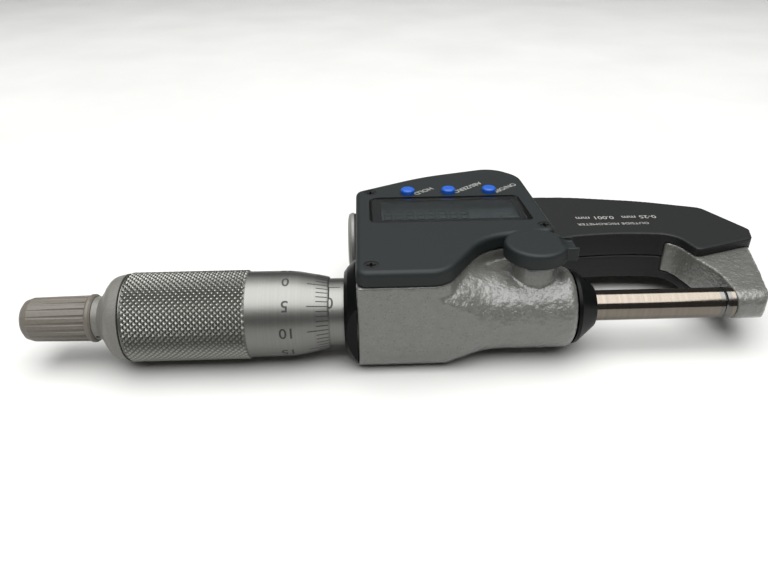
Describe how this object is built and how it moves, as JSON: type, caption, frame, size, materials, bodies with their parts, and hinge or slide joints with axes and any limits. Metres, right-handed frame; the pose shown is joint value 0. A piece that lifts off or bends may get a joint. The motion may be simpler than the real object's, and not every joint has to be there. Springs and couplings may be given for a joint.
{
  "type": "outside micrometer",
  "caption": "Digital outside micrometer for gaps up to 25 mm, with a U-shaped bow, screw-driven spindle, ratchet knob, spindle clamp and display housing.",
  "frame": {"origin": "centre of the anvil's measuring face, on the spindle axis", "axes": "+X along the spindle axis from the ratchet knob to the anvil, +Y from the spindle axis up to the bow, +Z out of the display face; the instrument lies on its back"},
  "size_m": [0.1603, 0.0545, 0.0252],
  "materials": {
    "grey_enamel": "hammered grey enamel on cast iron",
    "bow_plastic": "fine matt black moulded plastic",
    "screw_black": "blackened steel",
    "ground_steel": "ground and polished hardened steel",
    "carbide": "lapped tungsten carbide",
    "collar_black": "black moulded plastic, half gloss",
    "seal_rubber": "black nitrile rubber",
    "bronze": "turned bronze",
    "plain_steel": "turned steel",
    "satin_chrome": "satin hard chrome",
    "knob_plastic": "warm light grey moulded plastic",
    "cover_plastic": "fine textured charcoal plastic",
    "window_acrylic": "clear acrylic with a dark printed border",
    "lcd_grey": "liquid crystal panel, grey",
    "board_green": "glass epoxy board with solder mask",
    "button_blue": "blue moulded rubbery plastic",
    "cap_alloy": "satin nickel plated",
    "gold_contact": "gold flashed spring bronze",
    "screw_black_plastic": "black connector plastic"
  },
  "bodies": {
    "frame_body": {"frame": "grey_enamel", "front_bow_plate": "bow_plastic", "back_bow_plate": "bow_plastic", "bow_plate_screws": "screw_black", "anvil": "ground_steel", "anvil_tip": "carbide", "nose_ring": "collar_black", "wiper_seal": "seal_rubber", "front_bush": "bronze", "clamp_ring": "bronze", "guide_bush": "bronze", "encoder_stator": "board_green", "rotor_retainer": "plain_steel", "thread_nut": "plain_steel", "adjusting_nut": "plain_steel", "graduated_sleeve": "satin_chrome", "collar": "collar_black", "display_cover": "cover_plastic", "cover_gasket": "seal_rubber", "cover_screws": "screw_black", "display_window": "window_acrylic", "lcd_panel": "lcd_grey", "zebra_strip": "seal_rubber", "circuit_board": "board_green", "dome_switches": "plain_steel", "battery_cell": "plain_steel", "battery_contact": "gold_contact", "data_connector": "screw_black_plastic", "port_gasket": "seal_rubber", "port_cap": "bow_plastic", "port_cap_screws": "screw_black"},
    "rotor": {"encoder_rotor": "board_green", "rotor_bush": "bronze", "rotor_key": "plain_steel"},
    "spindle_body": {"spindle": "ground_steel", "spindle_tip": "carbide", "thimble": "satin_chrome", "ratchet_housing": "knob_plastic", "ratchet_ring": "plain_steel", "ratchet_spring": "plain_steel", "ratchet_screw": "plain_steel"},
    "ratchet": {"ratchet_knob": "knob_plastic", "knob_plug": "knob_plastic"},
    "clamp": {"clamp_shaft": "plain_steel", "clamp_knob": "cover_plastic"},
    "left_button_body": {"left_button": "button_blue"},
    "middle_button_body": {"middle_button": "button_blue"},
    "right_button_body": {"right_button": "button_blue"},
    "cap_seal": {"cap_o_ring": "seal_rubber"},
    "battery_cap_body": {"battery_cap": "cap_alloy"}
  },
  "joints": [
    {"name": "thimble_turn", "type": "hinge", "parent": "frame_body", "child": "rotor", "pos_m": [-0.06, 0, 0], "axis": [-1, 0, 0], "range_deg": [0, 18000]},
    {"name": "spindle_feed", "type": "slide", "parent": "rotor", "child": "spindle_body", "axis": [-1, 0, 0], "range_m": [0, 0.025]},
    {"name": "ratchet_slip", "type": "hinge", "parent": "spindle_body", "child": "ratchet", "pos_m": [-0.137, 0, 0], "axis": [1, 0, 0], "continuous": true},
    {"name": "clamp_turn", "type": "hinge", "parent": "frame_body", "child": "clamp", "pos_m": [-0.0403, 0, 0.0119], "axis": [0, 0, -1], "range_deg": [0, 70]},
    {"name": "left_button_press", "type": "slide", "parent": "frame_body", "child": "left_button_body", "axis": [0, 0, -1], "range_m": [0, 0.0004], "stiffness_N_per_m": 1200},
    {"name": "middle_button_press", "type": "slide", "parent": "frame_body", "child": "middle_button_body", "axis": [0, 0, -1], "range_m": [0, 0.0004], "stiffness_N_per_m": 1200},
    {"name": "right_button_press", "type": "slide", "parent": "frame_body", "child": "right_button_body", "axis": [0, 0, -1], "range_m": [0, 0.0004], "stiffness_N_per_m": 1200},
    {"name": "cap_back_out", "type": "slide", "parent": "frame_body", "child": "cap_seal", "axis": [-1, 0, 0], "range_m": [0, 0.0015]},
    {"name": "cap_unscrew", "type": "hinge", "parent": "cap_seal", "child": "battery_cap_body", "pos_m": [-0.078, 0.0246, 0.0039], "axis": [-1, 0, 0], "range_deg": [0, 720]}
  ],
  "couplings": [
    {"joint": "thimble_turn", "follows": "spindle_feed", "rad_per_m": 12566},
    {"joint": "cap_unscrew", "follows": "cap_back_out", "rad_per_m": 8377.6}
  ]
}
